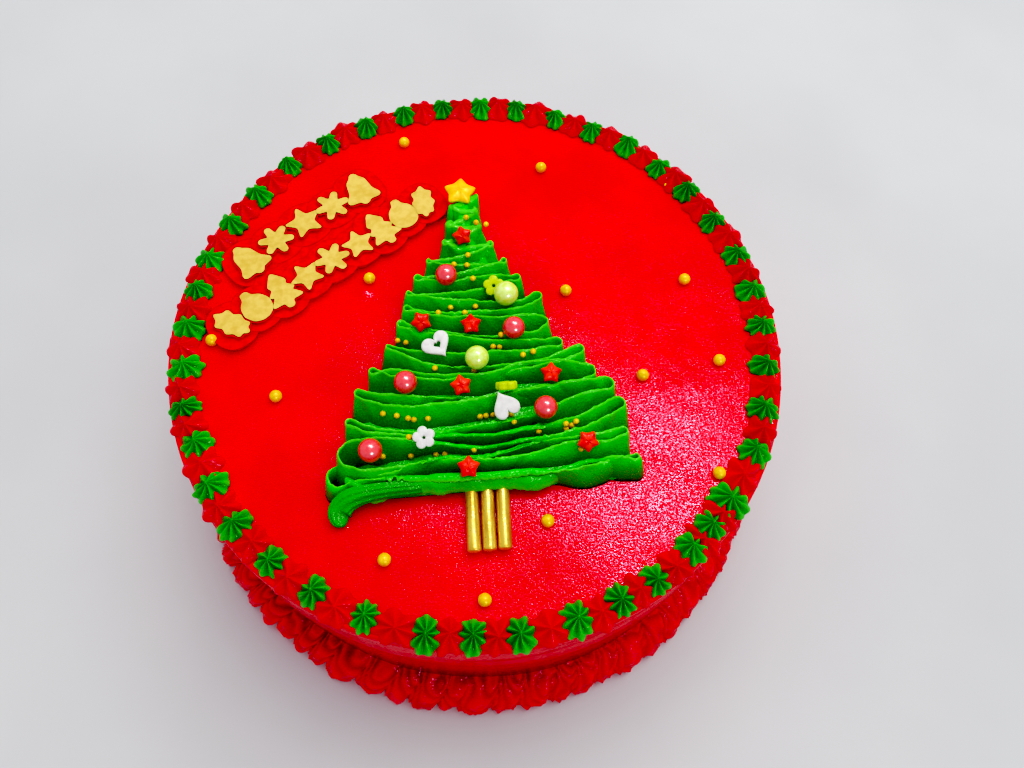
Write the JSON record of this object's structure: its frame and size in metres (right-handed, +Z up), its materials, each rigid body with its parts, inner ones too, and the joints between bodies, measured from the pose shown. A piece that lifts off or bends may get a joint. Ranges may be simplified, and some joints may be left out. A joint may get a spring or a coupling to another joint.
{
  "type": "christmas cake",
  "caption": "Round tall cake in smooth red icing, with a ruffle at its foot, a ring of piped stars, a piped ribbon tree with candies on top and a plaque with raised ornaments",
  "frame": {"origin": "the middle of the flat underside of the cake", "axes": "+Z up, +Y towards the tip of the piped tree, +X to the right of the tree seen upright"},
  "size_m": [0.2553, 0.2589, 0.1022],
  "materials": {
    "red_icing": "smooth cream icing with a soft, finely speckled sheen",
    "green_icing": "piped cream icing, smooth and slightly glossy",
    "gold_candy": "hard sugar with a pearly gold coat",
    "gold_rod": "edible metallic gold coat",
    "red_candy": "hard sugar with a pearly red coat",
    "lime_candy": "hard sugar with a pearly lime coat",
    "white_candy": "pressed sugar, matte white",
    "plaque": "moulded deep red plate with flat pale gold faces on its ornaments"
  },
  "bodies": {
    "root": {"cake_body": "red_icing", "base_border": "red_icing", "top_border": "green_icing", "piped_tree": "green_icing", "tree_star": "gold_candy", "trunk_rod_left": "gold_rod", "trunk_rod_middle": "gold_rod", "trunk_rod_right": "gold_rod", "plaque": "plaque", "pearl_red_1": "red_candy", "pearl_red_2": "red_candy", "pearl_red_3": "red_candy", "pearl_red_4": "red_candy", "pearl_red_5": "red_candy", "pearl_lime_1": "lime_candy", "pearl_lime_2": "lime_candy", "star_red_1": "red_candy", "star_red_2": "red_candy", "star_red_3": "red_candy", "star_red_4": "red_candy", "star_red_5": "red_candy", "star_red_6": "red_candy", "star_red_7": "red_candy", "heart_white_1": "white_candy", "heart_white_2": "white_candy", "flower_white_1": "white_candy", "flower_lime_1": "lime_candy", "flower_lime_2": "lime_candy"}
  },
  "joints": []
}
